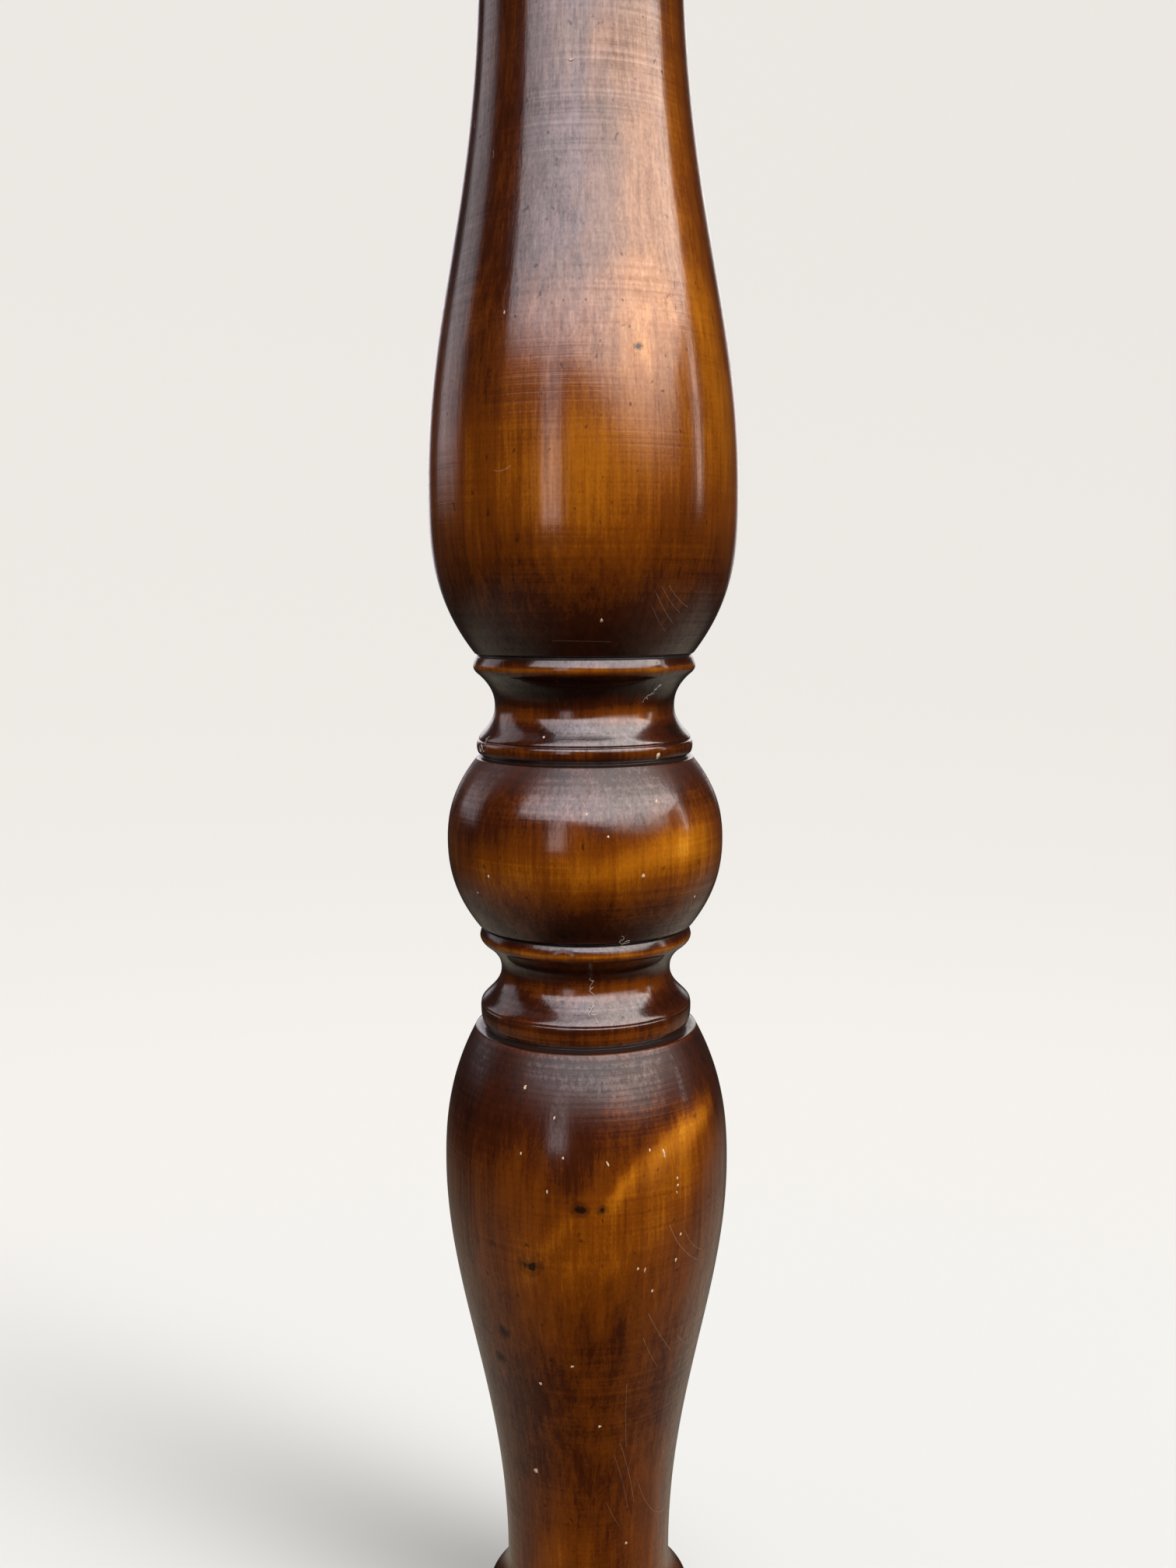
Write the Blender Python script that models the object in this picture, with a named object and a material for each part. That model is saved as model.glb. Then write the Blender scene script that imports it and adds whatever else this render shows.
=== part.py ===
"""Turned newel post, cut from one square length of timber.

The foot and the head are left square. Between them the timber is turned, from the foot upwards, to
a lower vase, a ball and a long upper vase, each standing on a group of collar, cove and ring.
A flattened ball ends the head.
Run it with blender --background --python part.py, or from Blender's text editor.
Metres, +Z up. The origin is at the middle of the sawn foot, and the front faces -Y.
"""

import math

import bmesh
import bpy
import numpy as np

# Square timber.
FOOT_BLOCK_HEIGHT = 0.3000
HEAD_BLOCK_HEIGHT = 0.1500
TURNING_ALLOWANCE = 0.0025  # timber left outside the upper vase, the fattest turning, on each face
EASED_CORNER = 0.0030
SHOULDER_RISE = 0.0200  # height of the rounded shoulder that the lathe leaves on a block
SHOULDER_SPARE = 0.0060  # how far the shoulder's curve runs on past the timber's corners
END_SPARE = 0.0200  # how far the lathe envelope runs on below the sawn foot

# V grooves and the edges beside them, the same all along the post.
GROOVE_WIDTH = 0.0016
GROOVE_DEPTH = 0.0006
RING_HEIGHT = 0.0075
RING_DEPTH = 0.0022  # how far a ring stands out over its own two edges
NOSE_DEPTH = 0.0012  # how far a collar's nose stands out over its lower edge

# Collar, cove and ring under the lower vase and, but for the ring's radius, under the ball.
LOWER_COLLAR_RADIUS = 0.0388
LOWER_COLLAR_NOSE = 0.0062  # height of the rounded nose
LOWER_COLLAR_HEIGHT = 0.0139  # from the nose's widest point up to the throat
LOWER_COVE_RADIUS = 0.0311
LOWER_COVE_HEIGHT = 0.0094
LOWER_RING_RADIUS = 0.0382
FOOT_RING_RADIUS = 0.0394

# Lower vase: hollow over its ring, neck to belly, belly to lip.
FOOT_HOLLOW_HEIGHT = 0.0138
LOWER_NECK_RADIUS = 0.0311
LOWER_NECK_TO_BELLY = 0.1580
LOWER_NECK_HOLD = 0.0679  # how long the curve stays close to the neck
LOWER_BELLY_HOLD = 0.0493
LOWER_BELLY_RADIUS = 0.0526
LOWER_BELLY_TO_LIP = 0.0522
LOWER_LIP_RADIUS = 0.0408
LOWER_FULLNESS = 2.43  # exponent of the curve from belly to lip

# Ball.
BALL_RADIUS = 0.0501
BALL_HEIGHT = 0.0593
BALL_LIP_RADIUS = 0.0393
BALL_FULLNESS = 2.25

# Collar, cove and ring over the ball.
UPPER_COLLAR_RADIUS = 0.0391
UPPER_COLLAR_NOSE = 0.0032
UPPER_COLLAR_HEIGHT = 0.0137
UPPER_COVE_RADIUS = 0.0324
UPPER_COVE_HEIGHT = 0.0113
UPPER_RING_RADIUS = 0.0400

# Upper vase: lip to belly, belly to neck, hollow under the head ring.
UPPER_LIP_RADIUS = 0.0392
UPPER_FULLNESS = 2.75
UPPER_LIP_TO_BELLY = 0.0543
UPPER_BELLY_RADIUS = 0.0550
UPPER_BELLY_HOLD = 0.0662
UPPER_NECK_HOLD = 0.0940
UPPER_BELLY_TO_NECK = 0.1918
UPPER_NECK_RADIUS = 0.0347
HEAD_HOLLOW_HEIGHT = 0.0150
HEAD_RING_RADIUS = 0.0430

# Flattened ball that ends the head, an ellipse cut off at two latitudes.
FINIAL_RADIUS = 0.0400
FINIAL_HEIGHT = 0.0440
FINIAL_LOW_CUT = math.radians(40)
FINIAL_HIGH_CUT = math.radians(81)
FINIAL_COVE_DEPTH = 0.0040
FINIAL_COVE_HEIGHT = 0.0050

# Shape of every cove and collar, and the fineness of the facets.
COVE_SWEEP = 2.28  # exponent of the curve from throat to lip
COLLAR_NOSE_SHARE = 0.52  # shares of a collar's height that its curve stays close to each end
COLLAR_THROAT_SHARE = 0.63
SIDES = 36
LONG_STEPS = 8
SHORT_STEPS = 5
SMALL_STEPS = 3
RING_STEPS = 4
CRISP_EDGE = math.radians(50)

# Finish.
VARNISHED_WOOD = (0.16, 0.055, 0.015, 1.0)
VARNISH_ROUGHNESS = 0.28

HALF_BLANK = UPPER_BELLY_RADIUS + TURNING_ALLOWANCE
CORNER_REACH = HALF_BLANK * math.sqrt(2) + SHOULDER_SPARE


def shares(steps):
    """Even shares from 0 to 1, both ends counted."""
    return np.linspace(0.0, 1.0, steps + 1)


class StoryStick:
    """Radii and heights of the turning, marked off from the foot upwards as on a turner's stick."""

    def __init__(self, radius, height):
        self.marks = [(radius, height)]

    @property
    def radius(self):
        return self.marks[-1][0]

    @property
    def height(self):
        return self.marks[-1][1]

    def add(self, radii, heights):
        """Marks off points over the last one; a first point that repeats it is skipped."""
        for radius, height in zip(radii, heights):
            if math.hypot(radius - self.radius, height - self.height) > 1e-6:
                self.marks.append((float(radius), float(height)))

    def groove(self, lip):
        """V cut of the standard width, from where the stick stands up to a lip of that radius."""
        root = min(self.radius, lip) - GROOVE_DEPTH
        foot = self.height
        self.add((root, lip), (foot + GROOVE_WIDTH / 2, foot + GROOVE_WIDTH))

    def ring(self, radius):
        """Bead whose outline is half an ellipse."""
        turn = shares(RING_STEPS) * math.pi
        edge, foot = radius - RING_DEPTH, self.height
        self.add(edge + RING_DEPTH * np.sin(turn), foot + RING_HEIGHT * (1 - np.cos(turn)) / 2)

    def cove_in(self, throat, height):
        """Hollow that runs in nearly straight from its lip and ends upright at the throat."""
        t = 1 - shares(SMALL_STEPS)
        lip, top = self.radius, self.height + height
        self.add(throat + (lip - throat) * t**COVE_SWEEP, top - height * t)

    def cove_out(self, lip, height):
        """The same hollow the other way up, from an upright throat out to its lip."""
        t = shares(SMALL_STEPS)
        throat, foot = self.radius, self.height
        self.add(throat + (lip - throat) * t**COVE_SWEEP, foot + height * t)

    def sweep(self, radius, height, hold_below, hold_above, steps):
        """S curve, a cubic Bezier that is upright at both ends and hugs each end over its hold."""
        t = shares(steps)
        start, foot = self.radius, self.height
        top = foot + height
        weights = ((1 - t) ** 3, 3 * t * (1 - t) ** 2, 3 * t**2 * (1 - t), t**3)
        across = (start, start, radius, radius)
        reach = (foot, foot + hold_below, top - hold_above, top)
        self.add(
            sum(weight * point for weight, point in zip(weights, across)),
            sum(weight * point for weight, point in zip(weights, reach)),
        )

    def swell_out(self, belly, height, fullness):
        """Rounded shoulder from a lip out to the belly over it."""
        t = np.sin(shares(SHORT_STEPS) * math.pi / 2)[::-1]
        lip, top = self.radius, self.height + height
        self.add(lip + (belly - lip) * (1 - t**fullness), top - height * t)

    def swell_in(self, lip, height, fullness):
        """The same shoulder the other way up, from the belly in to the lip over it."""
        t = np.sin(shares(SHORT_STEPS) * math.pi / 2)
        belly, foot = self.radius, self.height
        self.add(lip + (belly - lip) * (1 - t**fullness), foot + height * t)

    def collar(self, radius, nose, height, throat):
        """Collar: a groove, a quarter round nose, then an S curve in to the throat of its cove."""
        self.groove(radius - NOSE_DEPTH)
        turn = shares(SMALL_STEPS) * math.pi / 2
        edge, foot = self.radius, self.height
        self.add(edge + NOSE_DEPTH * np.sin(turn), foot + nose * (1 - np.cos(turn)))
        nose_hold, throat_hold = COLLAR_NOSE_SHARE * height, COLLAR_THROAT_SHARE * height
        self.sweep(throat, height, nose_hold, throat_hold, SHORT_STEPS)

    def lower_group(self, ring_radius):
        """Collar, cove and ring of the two lower groups."""
        self.collar(LOWER_COLLAR_RADIUS, LOWER_COLLAR_NOSE, LOWER_COLLAR_HEIGHT, LOWER_COVE_RADIUS)
        self.cove_out(ring_radius - RING_DEPTH, LOWER_COVE_HEIGHT)
        self.ring(ring_radius)

    def upper_group(self):
        """Collar, cove and ring over the ball."""
        self.collar(UPPER_COLLAR_RADIUS, UPPER_COLLAR_NOSE, UPPER_COLLAR_HEIGHT, UPPER_COVE_RADIUS)
        self.cove_out(UPPER_RING_RADIUS - RING_DEPTH, UPPER_COVE_HEIGHT)
        self.ring(UPPER_RING_RADIUS)

    def shoulder_in(self, radius):
        """Rounded top of a square block: a quarter ellipse in from outside the timber's corners."""
        turn = shares(SHORT_STEPS) * math.pi / 2
        foot, reach = self.height, CORNER_REACH - radius
        self.add(radius + reach * np.cos(turn), foot + SHOULDER_RISE * np.sin(turn))

    def shoulder_out(self):
        """Rounded underside of a square block: the same quarter ellipse, out past the corners."""
        turn = shares(SHORT_STEPS) * math.pi / 2
        inner, foot = self.radius, self.height
        reach = CORNER_REACH - inner
        self.add(inner + reach * np.sin(turn), foot + SHOULDER_RISE * (1 - np.cos(turn)))

    def finial(self):
        """Short cove and the flattened ball on it, closed by a small flat tip."""
        lip = FINIAL_RADIUS * math.cos(FINIAL_LOW_CUT)
        self.cove_in(lip - FINIAL_COVE_DEPTH, FINIAL_COVE_HEIGHT)
        self.cove_out(lip, FINIAL_COVE_HEIGHT)
        turn = (FINIAL_LOW_CUT + FINIAL_HIGH_CUT) * shares(LONG_STEPS) - FINIAL_LOW_CUT
        middle = self.height + FINIAL_HEIGHT / 2 * math.sin(FINIAL_LOW_CUT)
        self.add(FINIAL_RADIUS * np.cos(turn), middle + FINIAL_HEIGHT / 2 * np.sin(turn))
        self.add((0.0,), (self.height,))


def turned_outline():
    """The whole lathe envelope from under the foot to the tip, as (radius, height) points."""
    stick = StoryStick(CORNER_REACH, -END_SPARE)

    stick.add((CORNER_REACH,), (FOOT_BLOCK_HEIGHT - SHOULDER_RISE,))
    stick.shoulder_in(LOWER_COLLAR_RADIUS - NOSE_DEPTH)
    stick.lower_group(FOOT_RING_RADIUS)

    stick.cove_in(LOWER_NECK_RADIUS, FOOT_HOLLOW_HEIGHT)
    stick.sweep(
        LOWER_BELLY_RADIUS, LOWER_NECK_TO_BELLY, LOWER_NECK_HOLD, LOWER_BELLY_HOLD, LONG_STEPS
    )
    stick.swell_in(LOWER_LIP_RADIUS, LOWER_BELLY_TO_LIP, LOWER_FULLNESS)
    stick.lower_group(LOWER_RING_RADIUS)

    stick.groove(BALL_LIP_RADIUS)
    stick.swell_out(BALL_RADIUS, BALL_HEIGHT / 2, BALL_FULLNESS)
    stick.swell_in(BALL_LIP_RADIUS, BALL_HEIGHT / 2, BALL_FULLNESS)
    stick.upper_group()

    stick.groove(UPPER_LIP_RADIUS)
    stick.swell_out(UPPER_BELLY_RADIUS, UPPER_LIP_TO_BELLY, UPPER_FULLNESS)
    stick.sweep(
        UPPER_NECK_RADIUS, UPPER_BELLY_TO_NECK, UPPER_BELLY_HOLD, UPPER_NECK_HOLD, LONG_STEPS
    )
    stick.cove_out(HEAD_RING_RADIUS - RING_DEPTH, HEAD_HOLLOW_HEIGHT)
    stick.ring(HEAD_RING_RADIUS)
    stick.groove(HEAD_RING_RADIUS - RING_DEPTH)
    stick.shoulder_out()

    stick.add((CORNER_REACH,), (stick.height + HEAD_BLOCK_HEIGHT - 2 * SHOULDER_RISE,))
    stick.shoulder_in(FINIAL_RADIUS * math.cos(FINIAL_LOW_CUT))
    stick.finial()
    return stick.marks


def varnished_wood():
    """Dark stained wood under a gloss varnish."""
    material = bpy.data.materials.new("varnished_wood")
    material.use_nodes = True
    shader = material.node_tree.nodes["Principled BSDF"]
    shader.inputs["Base Color"].default_value = VARNISHED_WOOD
    shader.inputs["Roughness"].default_value = VARNISH_ROUGHNESS
    shader.inputs["Metallic"].default_value = 0.0
    return material


def add_object(name, mesh):
    item = bpy.data.objects.new(name, mesh)
    bpy.context.scene.collection.objects.link(item)
    return item


def lathe_envelope(outline):
    """Helper that shapes the timber: the outline, turned once round the post's axis."""
    mesh = bpy.data.meshes.new("lathe_envelope")
    downwards = [(0.0, -END_SPARE), *outline][::-1]
    points = [(radius, 0.0, height) for radius, height in downwards]
    edges = [(i, i + 1) for i in range(len(points) - 1)]
    mesh.from_pydata(points, edges, [])
    envelope = add_object("lathe_envelope", mesh)
    screw = envelope.modifiers.new("turn", "SCREW")
    screw.axis = "Z"
    screw.steps = SIDES
    screw.render_steps = SIDES
    screw.use_merge_vertices = True
    screw.merge_threshold = 0.00001
    envelope.hide_render = True
    envelope.display_type = "WIRE"
    return envelope


def squared_timber(height):
    """The blank before turning: a square prism with its four long corners eased."""
    shape = bmesh.new()
    bmesh.ops.create_cube(shape, size=1.0)
    bmesh.ops.scale(shape, vec=(2 * HALF_BLANK, 2 * HALF_BLANK, height), verts=shape.verts)
    bmesh.ops.translate(shape, vec=(0.0, 0.0, height / 2), verts=shape.verts)
    upright = [e for e in shape.edges if abs(e.verts[0].co.z - e.verts[1].co.z) > height / 2]
    bmesh.ops.bevel(
        shape, geom=upright, offset=EASED_CORNER, segments=3, profile=0.5, affect="EDGES"
    )
    mesh = bpy.data.meshes.new("squared_timber")
    shape.to_mesh(mesh)
    shape.free()
    return mesh


def newel_post():
    """The blank, kept only where it lies inside the lathe envelope."""
    outline = turned_outline()
    tip = outline[-1][1]
    post = add_object("newel_post", squared_timber(tip + END_SPARE))
    envelope = lathe_envelope(outline)
    turning = post.modifiers.new("turning", "BOOLEAN")
    turning.operation = "INTERSECT"
    turning.solver = "EXACT"
    turning.object = envelope

    turned = bpy.data.meshes.new_from_object(
        post.evaluated_get(bpy.context.evaluated_depsgraph_get())
    )
    turned.name = "newel_post"
    post.modifiers.remove(turning)
    post.data = turned
    bpy.data.objects.remove(envelope)
    turned.shade_smooth()
    turned.set_sharp_from_angle(angle=CRISP_EDGE)
    turned.materials.append(varnished_wood())
    return post


for leftover in list(bpy.data.objects):
    bpy.data.objects.remove(leftover)

newel_post()
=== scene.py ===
"""Newel post turned from one square length of timber, stained dark and varnished.

The file goes as the post was made: the timber turned on its lathe, the small hurts of its years
in use, the knots and grain in it, the stain and varnish over them, then the paint flecks and fluff.
Metres, +Z up, the front faces -Y. Azimuths are in degrees from the front towards +X.
"""

import math

import bpy
import numpy as np
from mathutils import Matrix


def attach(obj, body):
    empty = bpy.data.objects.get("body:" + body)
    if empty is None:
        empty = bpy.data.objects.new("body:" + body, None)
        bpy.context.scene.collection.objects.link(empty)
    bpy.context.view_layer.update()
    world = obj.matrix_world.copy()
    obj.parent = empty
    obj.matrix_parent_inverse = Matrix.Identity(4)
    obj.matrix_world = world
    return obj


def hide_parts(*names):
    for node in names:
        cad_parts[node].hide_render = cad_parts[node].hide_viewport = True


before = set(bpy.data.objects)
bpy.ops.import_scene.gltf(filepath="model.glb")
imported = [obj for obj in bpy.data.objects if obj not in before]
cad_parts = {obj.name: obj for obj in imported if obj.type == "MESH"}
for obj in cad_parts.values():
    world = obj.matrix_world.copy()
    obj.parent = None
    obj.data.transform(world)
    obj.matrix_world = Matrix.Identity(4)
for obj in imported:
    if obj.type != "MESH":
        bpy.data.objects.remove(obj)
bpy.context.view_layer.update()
bpy.context.scene.view_settings.view_transform = "Standard"


# The turned post is one length of close-grained hardwood, left square at the foot and the head.
# A turner's stick gives its radii and heights, from the sawn foot to the tip of the flattened ball.
# Every surface is one closed skin: rows up the stick, columns round the timber.
FOOT_BLOCK_HEIGHT = 0.3000
HEAD_BLOCK_HEIGHT = 0.1500
HALF_BLANK = 0.0575
EASED_CORNER = 0.0030
SHOULDER_RISE = 0.0200
CORNER_REACH = HALF_BLANK * math.sqrt(2) + 0.0060
SAWN_EDGE = 0.0008
GROOVE_WIDTH = 0.0016
GROOVE_DEPTH = 0.0006
RING_HEIGHT = 0.0063
RING_DEPTH = 0.0022
RING_STEP = 0.0010
QUIRK_WIDTH = 0.0007
QUIRK_LIP = 0.0001
NOSE_DEPTH = 0.0012
COVE_SWEEP = 2.28
FINE = 0.00045
CURVE = 0.0026
FLAT = 0.0090
SHOULDER_STEPS = 14
BLOCK_GAP = 0.0005


def shares(length, spacing):
    """Even shares from 0 to 1 for a stretch of that length, with steps of about that spacing."""
    return np.linspace(0.0, 1.0, max(3, round(length / spacing)) + 1)


class TurnersStick:
    """Radii and heights of the turning, marked off from the foot upwards."""

    def __init__(self, radius, height):
        self.radii = [np.array([radius])]
        self.heights = [np.array([height])]

    @property
    def radius(self):
        return float(self.radii[-1][-1])

    @property
    def height(self):
        return float(self.heights[-1][-1])

    def mark(self, radii, heights):
        """Marks off a stretch; its first point repeats the last one and is left out."""
        self.radii.append(np.asarray(radii, float)[1:])
        self.heights.append(np.asarray(heights, float)[1:])

    def groove(self, lip, width=GROOVE_WIDTH, cut=GROOVE_DEPTH):
        """V cut: the straight line from lip to lip less a power of half a sine wave."""
        t = shares(width, width / 8)
        straight = self.radius + (lip - self.radius) * t
        depth = cut + abs(lip - self.radius) / 2
        self.mark(straight - depth * np.sin(np.pi * t) ** 1.5, self.height + width * t)

    def ring(self, radius):
        """Bead: it falls off below its crest by the distance squared, above by less."""
        from_crest = -np.cos(shares(RING_HEIGHT, FINE) * np.pi)
        under = RING_DEPTH * np.minimum(from_crest, 0.0) ** 2
        over = RING_STEP * np.maximum(from_crest, 0.0) ** 1.5
        self.mark(radius - under - over, self.height + RING_HEIGHT * (1 + from_crest) / 2)

    def cove_in(self, throat, height):
        """Hollow: the lip's spare radius over the throat falls off as a power of the way up."""
        t = 1 - shares(height, 2 * FINE)
        self.mark(throat + (self.radius - throat) * t**COVE_SWEEP, self.height + height * (1 - t))

    def cove_out(self, lip, height):
        """The same hollow the other way up."""
        t = shares(height, 2 * FINE)
        throat = self.radius
        self.mark(throat + (lip - throat) * t**COVE_SWEEP, self.height + height * t)

    def sweep(self, radius, height, hold_below, hold_above, spacing=CURVE):
        """S curve: a cubic Bezier, upright at both ends, that hugs each end over its hold."""
        t = shares(height, spacing)
        foot, top = self.height, self.height + height
        weights = ((1 - t) ** 3, 3 * t * (1 - t) ** 2, 3 * t**2 * (1 - t), t**3)
        across = (self.radius, self.radius, radius, radius)
        reach = (foot, foot + hold_below, top - hold_above, top)
        self.mark(
            sum(weight * point for weight, point in zip(weights, across)),
            sum(weight * point for weight, point in zip(weights, reach)),
        )

    def swell_out(self, belly, height, fullness):
        """Rounded shoulder out to a belly: the belly less a power of the distance below it."""
        t = np.sin(shares(height, CURVE / 1.6) * np.pi / 2)[::-1]
        lip = self.radius
        self.mark(lip + (belly - lip) * (1 - t**fullness), self.height + height * (1 - t))

    def swell_in(self, lip, height, fullness):
        """The same shoulder the other way up."""
        t = np.sin(shares(height, CURVE / 1.6) * np.pi / 2)
        belly = self.radius
        self.mark(lip + (belly - lip) * (1 - t**fullness), self.height + height * t)

    def collar(self, radius, nose, brow, quirk, height, throat):
        """Groove, quarter ellipses up the nose and over its brow, a quirk and an S curve.

        The brow is its height and how far it falls back, the quirk the depth of the V over it.
        """
        self.groove(radius - NOSE_DEPTH)
        turn = shares(nose, FINE) * np.pi / 2
        self.mark(self.radius + NOSE_DEPTH * np.sin(turn), self.height + nose * (1 - np.cos(turn)))
        over, fall = brow
        turn = shares(over, FINE / 2) * np.pi / 2
        self.mark(self.radius - fall * (1 - np.cos(turn)), self.height + over * np.sin(turn))
        self.groove(self.radius - QUIRK_LIP, QUIRK_WIDTH, quirk)
        rest = height - over - QUIRK_WIDTH
        self.sweep(throat, rest, 0.15 * rest, 0.55 * rest, FINE)

    def group(self, collar, throat, cove, ring):
        """A collar, given by its radius, nose, brow, quirk and height, then a cove and a ring."""
        self.collar(*collar, throat)
        self.cove_out(ring - RING_DEPTH, cove)
        self.ring(ring)


# The stretch that is round all the way, from the shoulder of the foot block to that of the head.
LOWER_COLLAR = (0.0388, 0.0062, (0.0009, 0.0001), 0.00006, 0.0139)
BALL_HEIGHT = 0.0593
BALL_RISE = 0.0012
stick = TurnersStick(LOWER_COLLAR[0] - NOSE_DEPTH, FOOT_BLOCK_HEIGHT)
stick.group(LOWER_COLLAR, 0.0311, 0.0094, 0.0394)
stick.cove_in(0.0311, 0.0150)
stick.sweep(0.0526, 0.1580, 0.0679, 0.0493)
stick.swell_in(0.0408, 0.0522, 2.43)
stick.group(LOWER_COLLAR, 0.0311, 0.0094, 0.0388)
stick.groove(0.0395)
stick.swell_out(0.0501, BALL_HEIGHT / 2 + BALL_RISE, 2.25)
stick.swell_in(0.0393, BALL_HEIGHT / 2, 2.25)
stick.group((0.0391, 0.0030, (0.0018, 0.0007), 0.0002, 0.0139), 0.0324, 0.0113, 0.0400)
stick.groove(0.0395)
stick.swell_out(0.0550, 0.0555, 2.75)
stick.sweep(0.0347, 0.1918, 0.0662, 0.0940)
stick.cove_out(0.0430 - RING_DEPTH, 0.0162)
stick.ring(0.0430)
stick.groove(0.0430 - RING_DEPTH)
turned_radius = np.concatenate(stick.radii)
turned_height = np.concatenate(stick.heights)
HEAD_BLOCK_FOOT = stick.height
HEAD_BLOCK_TOP = HEAD_BLOCK_FOOT + HEAD_BLOCK_HEIGHT

# The flattened ball on the head: a short cove, then an ellipse between two latitudes.
FINIAL_RADIUS = 0.0400
FINIAL_HEIGHT = 0.0440
FINIAL_COVE_DEPTH = 0.0040
FINIAL_COVE_HEIGHT = 0.0050
FINIAL_STEPS = 42
LOW_CUT, HIGH_CUT = math.radians(40), math.radians(81)
finial = TurnersStick(FINIAL_RADIUS * math.cos(LOW_CUT), HEAD_BLOCK_TOP)
finial.cove_in(finial.radius - FINIAL_COVE_DEPTH, FINIAL_COVE_HEIGHT)
finial.cove_out(FINIAL_RADIUS * math.cos(LOW_CUT), FINIAL_COVE_HEIGHT)
latitude = (LOW_CUT + HIGH_CUT) * shares(FINIAL_STEPS, 1) - LOW_CUT
middle = finial.height + FINIAL_HEIGHT / 2 * math.sin(LOW_CUT)
finial.mark(FINIAL_RADIUS * np.cos(latitude), middle + FINIAL_HEIGHT / 2 * np.sin(latitude))
finial_radius = np.concatenate(finial.radii)
finial_height = np.concatenate(finial.heights)


def column_azimuths(on_flat, on_corner):
    """Azimuths of the columns, radians: even steps over each flat, closer ones over each corner."""
    flat = math.atan((HALF_BLANK - EASED_CORNER) / HALF_BLANK)
    side = np.concatenate(
        (
            np.linspace(-flat, flat, on_flat, endpoint=False),
            np.linspace(flat, np.pi / 2 - flat, on_corner, endpoint=False),
        )
    )
    turns = np.concatenate([side + quarter * np.pi / 2 for quarter in range(4)])
    return np.sort((turns + np.pi) % (2 * np.pi) - np.pi)


def square_radius(azimuth):
    """Radius of the squared timber: half its width over the cosine, or out to the eased corner."""
    within = (azimuth + np.pi / 4) % (np.pi / 2) - np.pi / 4
    off_diagonal = np.pi / 4 - np.abs(within)
    diagonal = math.sqrt(2) * (HALF_BLANK - EASED_CORNER)
    spare = np.maximum(EASED_CORNER**2 - (diagonal * np.sin(off_diagonal)) ** 2, 0.0)
    corner = diagonal * np.cos(off_diagonal) + np.sqrt(spare)
    on_flat = HALF_BLANK / np.cos(within)
    on_corner = np.abs(within) > math.atan((HALF_BLANK - EASED_CORNER) / HALF_BLANK)
    return np.where(on_corner, corner, on_flat)


def block_rows(azimuth, foot, top, spacing):
    """Rows of a square block's faces, from a lower edge to an upper one given for each column."""
    t = shares(float(np.mean(top) - np.mean(foot)), spacing)[:, None]
    radius = np.broadcast_to(square_radius(azimuth), (len(t), len(azimuth)))
    return radius, foot + (top - foot) * t


def shoulder_rows(azimuth, inner, foot, steps):
    """Rounded shoulder over a block: a quarter ellipse, from where it meets each column's face.

    The radius is the inner one plus the reach times the cosine of a turn, and the height is the
    foot plus the rise times its sine. The turn starts where that radius is the block's own.
    """
    reach = CORNER_REACH - inner
    start = np.arccos(np.clip((square_radius(azimuth) - inner) / reach, -1.0, 1.0))
    t = np.linspace(0.0, 1.0, steps + 1)[:, None]
    turn = start + (np.pi / 2 - start) * t
    return inner + reach * np.cos(turn), foot + SHOULDER_RISE * np.sin(turn)


def post_rows(azimuth):
    """Radius and height of every row and column, from the rim of the sawn foot to the tip."""
    side = square_radius(azimuth)
    flat = np.zeros_like(side)

    turn = np.linspace(0.0, np.pi / 2, 4)[:, None]
    under = [(side * share, flat) for share in (0.3, 0.6, 0.85)]
    rim = (side - SAWN_EDGE * (1 - np.sin(turn)), flat + SAWN_EDGE * (1 - np.cos(turn)))

    steps = SHOULDER_STEPS
    foot_shoulder = shoulder_rows(
        azimuth, stick.radii[0][0], FOOT_BLOCK_HEIGHT - SHOULDER_RISE, steps
    )
    foot_block = block_rows(azimuth, flat + SAWN_EDGE, foot_shoulder[1][0] - BLOCK_GAP, FLAT)
    raised = shoulder_rows(azimuth, stick.radius, 0.0, steps)
    head_under = (raised[0][::-1], HEAD_BLOCK_FOOT + SHOULDER_RISE - raised[1][::-1])
    head_shoulder = shoulder_rows(
        azimuth, finial_radius[0], HEAD_BLOCK_TOP - SHOULDER_RISE, steps
    )
    head_block = block_rows(
        azimuth, head_under[1][-1] + BLOCK_GAP, head_shoulder[1][0] - BLOCK_GAP, FLAT
    )

    def after_first(radius, height):
        return radius[1:], height[1:]

    parts = [(np.array([r]), np.array([z])) for r, z in under]
    parts += [rim, after_first(*foot_block), foot_shoulder]
    parts.append(after_first(turned_radius[:, None] + flat, turned_height[:, None] + flat))
    parts += [after_first(*head_under), head_block, head_shoulder]
    parts.append(after_first(finial_radius[:, None] + flat, finial_height[:, None] + flat))
    return np.concatenate([p[0] for p in parts]), np.concatenate([p[1] for p in parts])


def round_the_axis(radius, azimuth, height):
    """Points at a radius times the sine and the minus cosine of an azimuth, at a height."""
    parts = np.broadcast_arrays(radius * np.sin(azimuth), -radius * np.cos(azimuth), height)
    return np.stack(parts, axis=-1)


def grid_quads(rows, columns):
    """Faces of a grid whose last column joins its first: two corners of a row, and two above."""
    row, column = np.meshgrid(np.arange(rows - 1), np.arange(columns), indexing="ij")
    here, beside = row * columns + column, row * columns + (column + 1) % columns
    return np.stack((here, beside, beside + columns, here + columns), axis=-1).reshape(-1, 4)


def smooth_object(name, points, faces):
    """An object at the origin whose smooth mesh has those points and faces."""
    mesh = bpy.data.meshes.new(name)
    mesh.from_pydata(points, [], faces)
    mesh.shade_smooth()
    made = bpy.data.objects.new(name, mesh)
    bpy.context.scene.collection.objects.link(made)
    return made


UNROLLED_RADIUS = 0.05


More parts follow.
